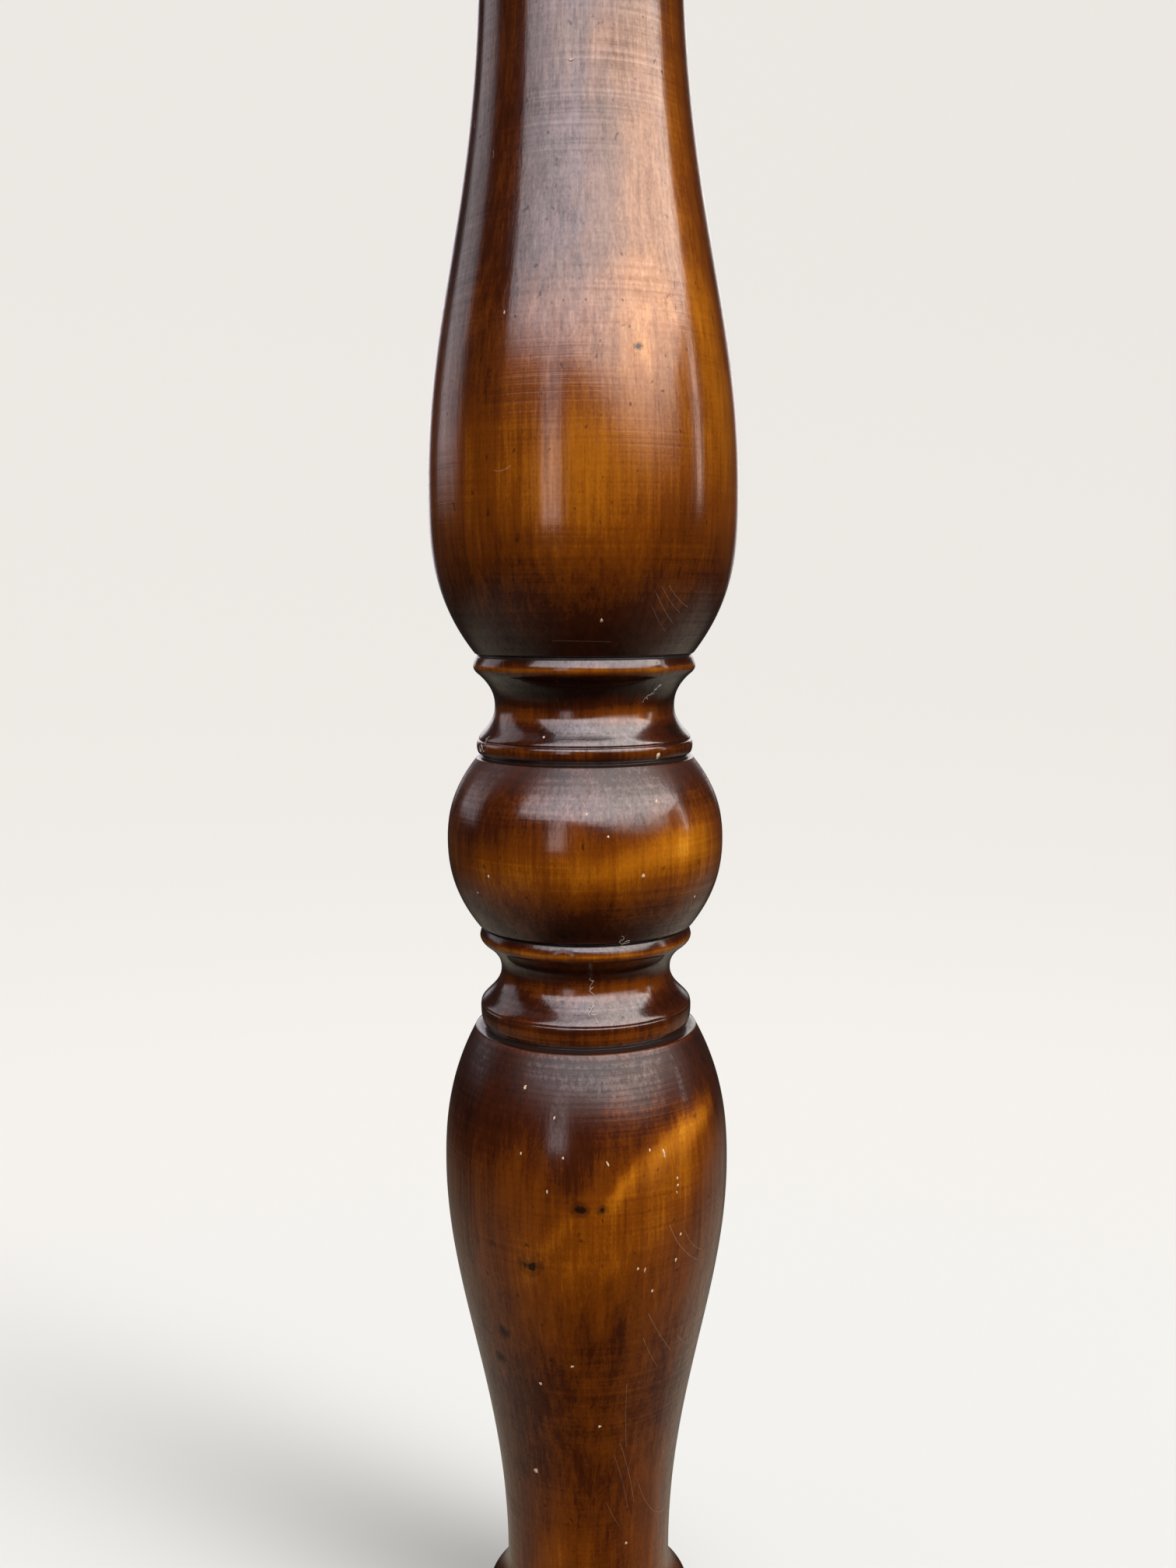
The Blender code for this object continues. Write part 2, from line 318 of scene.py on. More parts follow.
def closed_skin(name, radius, height, azimuth):
    """Object of a grid of rows round the axis, closed by a pole at each end.

    The UV map "unrolled" holds a point's azimuth as an arc of a 50 mm cylinder, and its height, in
    metres. A face over the seam at the back has its far corners a whole turn on.
    """
    rows, columns = radius.shape
    points = round_the_axis(radius, azimuth, height).reshape(-1, 3)
    poles = np.array([(0.0, 0.0, height[0].mean()), (0.0, 0.0, height[-1].mean())])
    points = np.concatenate((points, poles))
    around = np.arange(columns)
    after = (around + 1) % columns
    last = (rows - 1) * columns
    low, high = rows * columns, rows * columns + 1
    bottom = np.stack((after, around, np.full(columns, low)), axis=-1)
    top = np.stack((last + around, last + after, np.full(columns, high)), axis=-1)
    faces = [*grid_quads(rows, columns).tolist(), *bottom.tolist(), *top.tolist()]
    skin = smooth_object(name, points, faces)
    mesh = skin.data

    arc = np.concatenate((np.tile(azimuth, rows), (0.0, 0.0))) * UNROLLED_RADIUS
    corners = np.zeros(len(mesh.loops), np.int32)
    mesh.loops.foreach_get("vertex_index", corners)
    across = arc[corners]
    sizes = np.zeros(len(mesh.polygons), np.int32)
    mesh.polygons.foreach_get("loop_total", sizes)
    face = np.repeat(np.arange(len(sizes)), sizes)
    widest = np.full(len(sizes), -1.0)
    np.maximum.at(widest, face, across)
    at_seam = (widest[face] > 2 * UNROLLED_RADIUS) & (across < 0.0)
    across = np.where(at_seam, across + 2 * np.pi * UNROLLED_RADIUS, across)
    layer = mesh.uv_layers.new(name="unrolled")
    unrolled = np.stack((across, points[corners, 2]), axis=-1)
    layer.uv.foreach_set("vector", unrolled.astype(np.float32).ravel())
    return skin


def smooth_along(values, heights, reach):
    """Each row's value averaged with its neighbours', weighted by a bell over their heights."""
    gap = (heights[:, None] - heights[None, :]) / reach
    weight = np.exp(-(gap**2)) * np.gradient(heights)[None, :].clip(1e-6)
    return (weight * values[None, :]).sum(axis=1) / weight.sum(axis=1)


# Years of knocks: a chip out of the ring over the lower cove, and a double dent in the upper vase.
# Each is a bell-shaped hollow: azimuth, height, half-width along the arc, half-height, depth.
# Here and in the knots, scratches and flecks, most places to a tenth of a degree are what a
# scratch program gave for pixels that were picked by eye on the photo.
HURT_RADIUS = 0.045
HURTS = (
    (-11.3, 0.5968, 0.0014, 0.0013, 0.0009),
    (-4.7, 0.8884, 0.0016, 0.0007, 0.0003),
    (-4.9, 0.8862, 0.0012, 0.0006, 0.0003),
    (19.3, 0.7982, 0.0010, 0.0010, 0.0002),
    (-22.4, 0.4904, 0.0026, 0.0022, 0.0003),
    (-2.2, 0.5119, 0.0018, 0.0018, 0.0002),
)


def hurt_depth(azimuth, height):
    """How far the hurts go in: each is its depth times a bell over its two half-sizes."""
    depth = np.zeros_like(height)
    for turn, level, half_arc, half_height, deep in HURTS:
        across = (azimuth - math.radians(turn)) * HURT_RADIUS / half_arc
        depth += deep * np.exp(-(across**2) - ((height - level) / half_height) ** 2)
    return depth


# The stain went on by rag and took unevenly: dark where grooves and necks held it, amber where
# the belly of a turning was rubbed bare, and in soft leaning patches where the grain turns.
# Tone of the stain by height, 0 nearly black to 1 honey, and then patches laid over it.
TONE_BY_HEIGHT = (
    (0.000, 0.50), (0.250, 0.47), (0.299, 0.36), (0.340, 0.36), (0.372, 0.37),
    (0.400, 0.33), (0.437, 0.34), (0.470, 0.40), (0.490, 0.43), (0.508, 0.40),
    (0.522, 0.38), (0.540, 0.25), (0.561, 0.12), (0.603, 0.20), (0.612, 0.36),
    (0.621, 0.48), (0.629, 0.54), (0.640, 0.42), (0.650, 0.32), (0.661, 0.18),
    (0.702, 0.20), (0.712, 0.24), (0.722, 0.34), (0.736, 0.46), (0.750, 0.56),
    (0.765, 0.58), (0.790, 0.52), (0.812, 0.44), (0.830, 0.30), (0.945, 0.28),
    (0.980, 0.44), (1.167, 0.50),
)
# Azimuth, height, half-width in degrees, half-height, lean in metres a degree, and the change.
TONE_PATCHES = (
    (36, 0.872, 30, 0.060, 0, 0.38),
    (18, 0.905, 16, 0.030, 0, 0.10),
    (26, 0.815, 19, 0.028, 0.0004, 0.28),
    (54, 0.800, 13, 0.045, 0, 0.12),
    (-2, 0.766, 18, 0.016, 0.0002, 0.08),
    (-33, 0.797, 12, 0.042, 0, -0.20),
    (-54, 0.800, 14, 0.060, 0, -0.12),
    (-64, 0.850, 12, 0.070, 0, -0.10),
    (38, 0.745, 14, 0.014, 0, -0.12),
    (20, 0.630, 28, 0.006, 0.0002, 0.16),
    (44, 0.637, 22, 0.007, 0.0001, 0.24),
    (-46, 0.640, 22, 0.011, 0, -0.24),
    (-36, 0.614, 24, 0.006, 0, -0.08),
    (30, 0.680, 20, 0.005, 0, 0.14),
    (32, 0.582, 20, 0.005, 0, 0.12),
    (-46, 0.541, 24, 0.020, 0, -0.12),
    (14, 0.5200, 9, 0.004, 0.0010, 0.22),
    (31, 0.5300, 15, 0.005, 0.0006, 0.30),
    (40, 0.5270, 18, 0.011, 0.0004, 0.16),
    (52, 0.5360, 14, 0.006, 0.0002, 0.34),
    (44, 0.5200, 20, 0.010, 0.0003, 0.10),
    (32, 0.505, 16, 0.010, 0.0004, 0.10),
    (-3, 0.494, 12, 0.014, 0, 0.10),
    (-12, 0.5010, 10, 0.005, 0.0011, 0.14),
    (12, 0.474, 5, 0.004, -0.0027, -0.15),
    (16, 0.462, 5, 0.010, 0, -0.10),
    (-46, 0.510, 16, 0.018, 0, -0.07),
    (-4, 0.525, 9, 0.013, 0, -0.13),
    (-28, 0.425, 15, 0.028, 0, -0.10),
    (-20, 0.370, 14, 0.011, 0, 0.12),
    (-24, 0.470, 8, 0.013, 0, 0.10),
    (150, 0.760, 30, 0.040, 0.0003, 0.16),
    (-120, 0.820, 26, 0.060, -0.0004, 0.14),
    (120, 0.500, 24, 0.030, 0.0003, 0.16),
    (-150, 0.520, 30, 0.020, -0.0003, 0.14),
    (-110, 0.635, 30, 0.008, 0.0001, 0.12),
    (170, 0.450, 26, 0.030, 0, -0.10),
)


# In each group of collar, cove and ring: dark in the grooves, plum on the flare, rubbed to orange
# round the throat, black under the ring from dark stain and painted shade, and orange again along
# the ring's lower side.
# Each is a share of the group's height and the tone there; the throat's own share is added to some.
GROUP_FEET = (0.3000, 0.5626, 0.6621)
GROUP_TOPS = (0.3386, 0.6012, 0.6994)
GROUP_THROATS = (0.562, 0.562, 0.496)
NOSE_TONES = ((0.0, 0.10), (0.05, 0.26), (0.14, 0.30), (0.20, 0.16), (0.34, 0.14))
THROAT_TONES = ((-0.13, 0.26), (-0.08, 0.36), (0.00, 0.31), (0.06, 0.16))
# The black at the ring's foot, under its overhang, is painted shade over dark stain.
RING_TONES_AND_SHADE = ((0.70, 0.02), (0.80, 0.03), (0.84, 0.42), (0.89, 0.54), (0.92, 0.26), (1.0, 0.12))


def stain_tone(azimuth, height):
    """Tone by height, plus for each patch its change times a bell across and up its own lean.

    Both are looked up a little off, by sines of the azimuth and height, so that edges are ragged.
    """
    levels, tones = np.array(TONE_BY_HEIGHT).T
    ragged = np.sin(5 * azimuth + 70 * height) + 0.7 * np.sin(13 * azimuth - 160 * height + 1.7)
    tone = np.interp(height + 0.0016 * ragged, levels, tones)
    for foot, top, throat in zip(GROUP_FEET, GROUP_TOPS, GROUP_THROATS):
        about_throat = tuple((throat + share, change) for share, change in THROAT_TONES)
        part, own = np.array(NOSE_TONES + about_throat + RING_TONES_AND_SHADE).T
        share = (height - foot) / (top - foot)
        inside = (share > 0) & (share < 1)
        tone = np.where(inside, np.interp(share + 0.006 * ragged, part, own), tone)
    for turn, level, half_turn, half_height, lean, change in TONE_PATCHES:
        off = (np.degrees(azimuth) - turn + 180) % 360 - 180
        up = height - level - lean * off
        off = off + 2.4 * np.sin(130 * height + turn) + 1.2 * np.sin(410 * height - 9 * azimuth)
        up = up + 0.0007 * np.sin(9 * azimuth + turn)
        tone = tone + change * np.exp(-((off / half_turn) ** 2) - (up / half_height) ** 2)
    return tone


# Under the upper two groups the varnish has gone dull with dust that nobody could rub out, and over
# the pale band of the lower vase it is a satin. A shoulder is the height of its top and how far
# down the dullness reaches; the band is given as a tone patch is.
DULL_SHOULDERS = ((0.5626, 0.026), (0.6621, 0.012))
SATIN_BAND = (36, 0.529, 24, 0.010, 0.0006, 0.75)


def bell(azimuth, height, turn, level, half_turn, half_height, lean, change):
    """The change times a bell across an azimuth in degrees, and up from a height that leans."""
    off = (np.degrees(azimuth) - turn + 180) % 360 - 180
    up = height - level - lean * off
    return change * np.exp(-((off / half_turn) ** 2) - (up / half_height) ** 2)


def dullness(azimuth, height):
    """The satin band, and 1 at the top of a dull shoulder, easing to 0 over its reach below."""
    dull = bell(azimuth, height, *SATIN_BAND)
    for top, reach in DULL_SHOULDERS:
        share = np.clip((height - (top - reach)) / reach, 0.0, 1.0)
        dull = np.where(height < top, np.maximum(dull, np.sin(share * np.pi / 2)), dull)
    return dull


def write_values(mesh, name, values):
    attribute = mesh.attributes.new(name, "FLOAT", "POINT")
    attribute.data.foreach_set("value", np.asarray(values, np.float32).ravel())


ROUND_FOOT = 0.301
SMOOTHED_OVER = 0.0022


def turned_post():
    """The post's skin, with its hurts pressed in, and its stain and the varnish's state noted.

    The recess value, painted shade with some dirt, is how far a row lies inside the outline
    smoothed over 4 mm, wear how far outside it.
    End grain is the upright share of the surface's normal.
    """
    azimuth = column_azimuths(30, 4)
    radius, height = post_rows(azimuth)
    around = np.broadcast_to(azimuth, radius.shape)
    post = closed_skin("turned_post", radius - hurt_depth(around, height), height, azimuth)
    mesh = post.data

    levels, shape = height.mean(axis=1), radius.mean(axis=1)
    sides = (levels > ROUND_FOOT) & (levels < HEAD_BLOCK_FOOT)
    relief = np.zeros_like(shape)
    smoothed = smooth_along(shape[sides], levels[sides], SMOOTHED_OVER)
    relief[sides] = shape[sides] - smoothed
    columns = len(azimuth)
    tone = stain_tone(around, height)
    normals = np.zeros(len(mesh.vertices) * 3, np.float32)
    mesh.vertices.foreach_get("normal", normals)
    poles = (0.0, 0.0)
    # Recesses in grooves and coves and under beads get painted shade, with dirt that dulls them
    # too.
    recess_dirt_and_shade = np.repeat(np.clip((-relief - 0.00016) / 0.0006, 0, 1), columns)
    wear = np.repeat(np.clip((relief - 0.0001) / 0.0009, 0, 1), columns)
    write_values(mesh, "tone", np.append(tone, (0.45, 0.45)))
    write_values(mesh, "recess_dirt_and_shade", np.append(recess_dirt_and_shade, poles))
    write_values(mesh, "wear", np.append(wear, poles))
    write_values(mesh, "dull", np.append(dullness(around, height), poles))
    write_values(mesh, "end_grain", np.abs(normals.reshape(-1, 3)[:, 2]))
    return post


def place(tree, kind, inputs=None, **settings):
    """A node of that kind, its settings made and each input given a number, colour or link."""
    made = tree.nodes.new(kind)
    for name, value in settings.items():
        setattr(made, name, value)
    for socket, value in (inputs or {}).items():
        if isinstance(value, bpy.types.NodeSocket):
            tree.links.new(value, made.inputs[socket])
        else:
            made.inputs[socket].default_value = value
    return made


def maths(tree, operation, *values, clamp=False):
    inputs = dict(enumerate(values))
    return place(tree, "ShaderNodeMath", inputs, operation=operation, use_clamp=clamp).outputs[0]


def vector_maths(tree, operation, *values):
    made = place(tree, "ShaderNodeVectorMath", dict(enumerate(values)), operation=operation)
    return made.outputs["Value" if operation in ("LENGTH", "DOT_PRODUCT") else "Vector"]


def ramp(tree, value, low, high):
    """0 at the low value, 1 at the high one, eased between."""
    made = place(
        tree,
        "ShaderNodeMapRange",
        {"Value": value, "From Min": low, "From Max": high},
        interpolation_type="SMOOTHSTEP",
    )
    return made.outputs["Result"]


def mix_colour(tree, share, first, second):
    made = place(
        tree, "ShaderNodeMix", {0: share, 6: first, 7: second}, data_type="RGBA", clamp_factor=True
    )
    return made.outputs[2]


def noise(tree, coordinates, stretch, detail=2.0, distortion=0.0):
    """Noise whose spots are finer along an axis the larger its stretch, in waves to the metre."""
    scaled = place(tree, "ShaderNodeMapping", {"Vector": coordinates, "Scale": stretch})
    made = place(
        tree,
        "ShaderNodeTexNoise",
        {"Vector": scaled.outputs[0], "Scale": 1.0, "Detail": detail, "Distortion": distortion},
    )
    return made.outputs[0]


def new_group(name, inputs, outputs):
    """An empty shader group with those inputs, vectors or numbers, and number outputs."""
    tree = bpy.data.node_groups.new(name, "ShaderNodeTree")
    for label, default in inputs:
        kind = "NodeSocketFloat" if isinstance(default, float) else "NodeSocketVector"
        socket = tree.interface.new_socket(label, in_out="INPUT", socket_type=kind)
        socket.default_value = default
    for label in outputs:
        tree.interface.new_socket(label, in_out="OUTPUT", socket_type="NodeSocketFloat")
    return tree, tree.nodes.new("NodeGroupInput"), tree.nodes.new("NodeGroupOutput")


def knot_group():
    """A knot cut across by the lathe: a dark heart with rings, and the pale grain turned round it.

    The heart is 1 inside the size, the ring lines a sine of the distance in sizes, and the halo a
    bell three sizes wide.
    """
    tree, given, gives = new_group(
        "knot",
        (("Place", (0.0, 0.0, 0.0)), ("Centre", (0.0, 0.0, 0.0)), ("Size", 0.003)),
        ("Heart", "Halo"),
    )
    off = vector_maths(tree, "SUBTRACT", given.outputs["Place"], given.outputs["Centre"])
    squat = vector_maths(tree, "MULTIPLY", off, (0.80, 1.0, 1.0))
    wobble = noise(tree, given.outputs["Place"], (420.0, 300.0, 1.0), 3.0)
    away = maths(tree, "DIVIDE", vector_maths(tree, "LENGTH", squat), given.outputs["Size"])
    away = maths(tree, "ADD", away, maths(tree, "MULTIPLY_ADD", wobble, 1.1, -0.55))
    heart = maths(tree, "SUBTRACT", 1.0, ramp(tree, away, 0.35, 1.05))
    lines = maths(tree, "SINE", maths(tree, "MULTIPLY", away, 9.0))
    lines = maths(tree, "MULTIPLY_ADD", lines, 0.2, 0.8)
    halo = maths(tree, "SUBTRACT", 1.0, ramp(tree, away, 0.8, 3.6))
    tree.links.new(maths(tree, "MULTIPLY", heart, lines), gives.inputs["Heart"])
    tree.links.new(halo, gives.inputs["Halo"])
    return tree


def scratch_group():
    """A scratch: 1 on a bowed line between two places, falling to 0 at the width beside it.

    The line leaves the straight one by four times its bow, the share of the way along and the rest.
    """
    tree, given, gives = new_group(
        "scratch",
        (
            ("Place", (0.0, 0.0, 0.0)),
            ("Start", (0.0, 0.0, 0.0)),
            ("End", (0.0, 0.0, 0.0)),
            ("Bow", 0.0),
            ("Width", 0.0002),
        ),
        ("Line",),
    )
    along = vector_maths(tree, "SUBTRACT", given.outputs["End"], given.outputs["Start"])
    off = vector_maths(tree, "SUBTRACT", given.outputs["Place"], given.outputs["Start"])
    share = maths(
        tree,
        "DIVIDE",
        vector_maths(tree, "DOT_PRODUCT", off, along),
        vector_maths(tree, "DOT_PRODUCT", along, along),
        clamp=True,
    )
    scaled = place(tree, "ShaderNodeVectorMath", {0: along, "Scale": share}, operation="SCALE")
    beside = vector_maths(tree, "CROSS_PRODUCT", (0.0, 0.0, 1.0), along)
    beside = vector_maths(tree, "NORMALIZE", beside)
    reach = maths(tree, "MULTIPLY", maths(tree, "MULTIPLY", given.outputs["Bow"], 4.0), share)
    reach = maths(tree, "MULTIPLY", reach, maths(tree, "SUBTRACT", 1.0, share))
    bowed = place(tree, "ShaderNodeVectorMath", {0: beside, "Scale": reach}, operation="SCALE")
    across = vector_maths(tree, "SUBTRACT", off, scaled.outputs[0])
    gap = vector_maths(tree, "LENGTH", vector_maths(tree, "SUBTRACT", across, bowed.outputs[0]))
    away = maths(tree, "DIVIDE", gap, given.outputs["Width"])
    tree.links.new(maths(tree, "SUBTRACT", 1.0, ramp(tree, away, 0.2, 1.0)), gives.inputs["Line"])
    return tree


def unrolled_place(azimuth, height):
    """Where a mark of that azimuth and height lies on the UV map "unrolled"."""
    return (math.radians(azimuth) * UNROLLED_RADIUS, height, 0.0)


# Azimuth, height and size of the heart.
KNOTS = (
    (19.7, 0.7984, 0.0016),
    (-2.7, 0.5122, 0.0034),
    (5.9, 0.5121, 0.0023),
    (-22.4, 0.4898, 0.0044),
    (-39.9, 0.4596, 0.0034),
    (-45.7, 0.4471, 0.0032),
    (158.0, 0.4870, 0.0034),
    (104.0, 0.2180, 0.0060),
)
# Azimuth and height of the two ends of each scratch, how far its middle bows, and its width.
SCRATCHES = (
    (28.0, 0.7205, 40.0, 0.7105, -0.0008, 0.00026),
    (30.0, 0.7225, 42.0, 0.7140, -0.0008, 0.00020),
    (33.0, 0.7230, 45.0, 0.7160, -0.0008, 0.00024),
    (27.0, 0.7165, 37.0, 0.7080, -0.0006, 0.00018),
    (33.3, 0.5028, 53.0, 0.4836, -0.0024, 0.00026),
    (41.4, 0.4987, 53.2, 0.4878, -0.0014, 0.00022),
    (26.3, 0.4701, 41.9, 0.4512, -0.0008, 0.00026),
    (45.0, 0.4563, 60.8, 0.4474, -0.0012, 0.00024),
    (24.9, 0.4605, 35.4, 0.4459, -0.0006, 0.00020),
    (19.1, 0.4420, 21.9, 0.4147, -0.0004, 0.00020),
    (17.9, 0.4170, 30.3, 0.3897, 0.0006, 0.00024),
    (15.0, 0.4120, 26.0, 0.3880, 0.0005, 0.00018),
    (31.9, 0.3986, 48.6, 0.3811, -0.0016, 0.00024),
    (48.6, 0.3811, 68.5, 0.3767, -0.0012, 0.00024),
    (11.6, 0.3919, 19.9, 0.3818, -0.0004, 0.00020),
    (-31.7, 0.7600, -25.4, 0.7612, -0.0007, 0.00026),
    (-14.0, 0.7050, 12.0, 0.7046, 0.0001, 0.00014),
    (-45.4, 0.8640, -44.6, 0.8618, 0.0004, 0.00036),
    (-67.6, 0.8776, -65.4, 0.8752, -0.0004, 0.00036),
)


def new_material(name):
    """A material, its tree, its shader, and the place in the solid as Object coordinates."""
    material = bpy.data.materials.new(name)
    material.use_nodes = True
    tree = material.node_tree
    solid = place(tree, "ShaderNodeTexCoord").outputs["Object"]
    return material, tree, tree.nodes["Principled BSDF"], solid


def add_up(tree, total, *shares):
    """The total, plus each part times its amount."""
    for part, amount in shares:
        total = maths(tree, "MULTIPLY_ADD", part, amount, total)
    return total


def add_centred(tree, total, *shares):
    """The total, plus how far each noise is off its middle, times its amount."""
    for part, amount in shares:
        total = add_up(tree, total, (maths(tree, "SUBTRACT", part, 0.5), amount))
    return total


def give_surface(tree, shader, colour, rough, relief, strength, depth):
    """Gives the shader a colour, a roughness, and a bump of that strength and depth in metres."""
    heights = {"Height": relief, "Strength": strength, "Distance": depth}
    bump = place(tree, "ShaderNodeBump", heights).outputs[0]
    for socket, value in (("Base Color", colour), ("Roughness", rough), ("Normal", bump)):
        tree.links.new(value, shader.inputs[socket])


def varnished_wood():
    """Close-grained wood, its stain, and a gloss varnish that has sunk a little into the pores.

    The figure is worked out through the solid timber: fibres drawn out along it, wandering streaks,
    cloudy mottle, and year rings about a pith that lies outside the post. Tone is the stain's own
    plus those, and one run of colours turns tone into wood.
    """
    material, tree, shader, solid = new_material("varnished_wood")
    unrolled = place(tree, "ShaderNodeUVMap", uv_map="unrolled").outputs[0]

    def value(name):
        return place(tree, "ShaderNodeAttribute", attribute_name=name).outputs["Fac"]

    fibres = noise(tree, solid, (620.0, 620.0, 22.0), 3.0)
    hairs = noise(tree, solid, (1800.0, 1800.0, 60.0), 2.0)
    streaks = noise(tree, solid, (130.0, 130.0, 7.0), 3.0, 0.3)
    mottle = noise(tree, solid, (42.0, 42.0, 17.0), 3.0, 0.6)
    clouds = noise(tree, solid, (17.0, 17.0, 9.0), 2.0, 0.4)
    specks = noise(tree, solid, (1100.0, 1100.0, 800.0), 2.0)
    turned_lines = noise(tree, solid, (11.0, 11.0, 900.0), 3.0)
    turned_where = ramp(tree, noise(tree, solid, (19.0, 19.0, 28.0), 2.0), 0.38, 0.66)
    strength = maths(tree, "MULTIPLY_ADD", turned_where, 0.85, 0.15)
    centred_lines = maths(tree, "SUBTRACT", turned_lines, 0.5)
    turning_marks = maths(tree, "MULTIPLY_ADD", centred_lines, strength, 0.5)
    wander = noise(tree, solid, (26.0, 26.0, 5.0), 2.0)
    pith = vector_maths(tree, "ADD", solid, (0.06, -0.11, 0.0))
    pith = vector_maths(tree, "MULTIPLY", pith, (1.0, 1.0, 0.03))
    years = maths(tree, "MULTIPLY_ADD", wander, 0.030, vector_maths(tree, "LENGTH", pith))
    years = maths(tree, "SINE", maths(tree, "MULTIPLY", years, 1700.0))
    pores = ramp(tree, noise(tree, solid, (430.0, 430.0, 300.0), 1.0), 0.71, 0.78)

    heart, halo, line = 0.0, 0.0, 0.0
    knot, scratch = knot_group(), scratch_group()
    for azimuth, level, size in KNOTS:
        given = {"Place": unrolled, "Centre": unrolled_place(azimuth, level), "Size": size}
        made = place(tree, "ShaderNodeGroup", given, node_tree=knot)
        heart = maths(tree, "MAXIMUM", heart, made.outputs["Heart"])
        halo = maths(tree, "MAXIMUM", halo, made.outputs["Halo"])
    for first, first_level, second, second_level, bow, width in SCRATCHES:
        start, end = unrolled_place(first, first_level), unrolled_place(second, second_level)
        given = {"Place": unrolled, "Start": start, "End": end, "Bow": bow, "Width": width}
        made = place(tree, "ShaderNodeGroup", given, node_tree=scratch)
        line = maths(tree, "MAXIMUM", line, made.outputs["Line"])

    figure = ((streaks, 0.26), (mottle, 0.30), (clouds, 0.28), (fibres, 0.26), (hairs, 0.16))
    marks = ((turning_marks, 0.26), (specks, 0.16))
    tone = add_centred(tree, value("tone"), *figure, *marks)
    tone = add_up(tree, tone, (years, 0.012), (halo, 0.05))
    tone = add_up(tree, tone, (value("wear"), 0.16), (value("end_grain"), -0.10))

    colours = place(tree, "ShaderNodeValToRGB", {"Fac": tone})
    stops = colours.color_ramp.elements
    stops[0].position, stops[0].color = 0.0, (0.0080, 0.0018, 0.0006, 1.0)
    stops[1].position, stops[1].color = 1.0, (0.5600, 0.2400, 0.0180, 1.0)
    for position, colour in (
        (0.25, (0.0350, 0.0066, 0.0009, 1.0)),
        (0.50, (0.1190, 0.0285, 0.0010, 1.0)),
        (0.75, (0.2800, 0.0900, 0.0030, 1.0)),
    ):
        stops.new(position).color = colour
    # The recess value paints shade near black into grooves, coves and under beads, and its dirt
    # roughens them.
    recess_dirt_and_shade, dull = value("recess_dirt_and_shade"), value("dull")
    colour = colours.outputs[0]
    for part, amount, over in (
        (recess_dirt_and_shade, 0.86, (0.009, 0.005, 0.003, 1.0)),
        (heart, 0.97, (0.006, 0.002, 0.001, 1.0)),
        (pores, 0.55, (0.012, 0.004, 0.002, 1.0)),
        (line, 0.16, (0.42, 0.27, 0.16, 1.0)),
    ):
        colour = mix_colour(tree, maths(tree, "MULTIPLY", part, amount), colour, over)

    smears = noise(tree, solid, (30.0, 30.0, 18.0), 3.0, 0.5)
    soiled = ((hairs, 0.04), (recess_dirt_and_shade, 0.30), (heart, 0.03), (dull, 0.22), (line, 0.25))
    rough = add_up(tree, 0.08, (smears, 0.15), *soiled)

    uneven = ((turning_marks, 1.3), (fibres, 0.9), (hairs, 0.7), (specks, 0.8), (mottle, 0.6))
    gloss = add_centred(tree, 0.55, *uneven)
    gloss = add_up(tree, gloss, (pores, -0.6), (dull, -0.55))
    gloss = maths(tree, "MULTIPLY_ADD", heart, -0.5, gloss, clamp=True)
    tree.links.new(gloss, shader.inputs["Coat Weight"])

    raised = ((fibres, 0.80), (hairs, 0.35), (specks, 0.30), (turning_marks, 1.30), (mottle, 1.80))
    relief = add_up(tree, 0.0, *raised, (heart, -0.60), (line, -0.50))
    give_surface(tree, shader, colour, rough, relief, 0.8, 0.00008)
    shader.inputs["IOR"].default_value = 1.5
    shader.inputs["Specular IOR Level"].default_value = 0.38
    shader.inputs["Coat Roughness"].default_value = 0.08
    return material


post = turned_post()
post.data.materials.append(varnished_wood())
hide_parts("newel_post")
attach(post, "root")


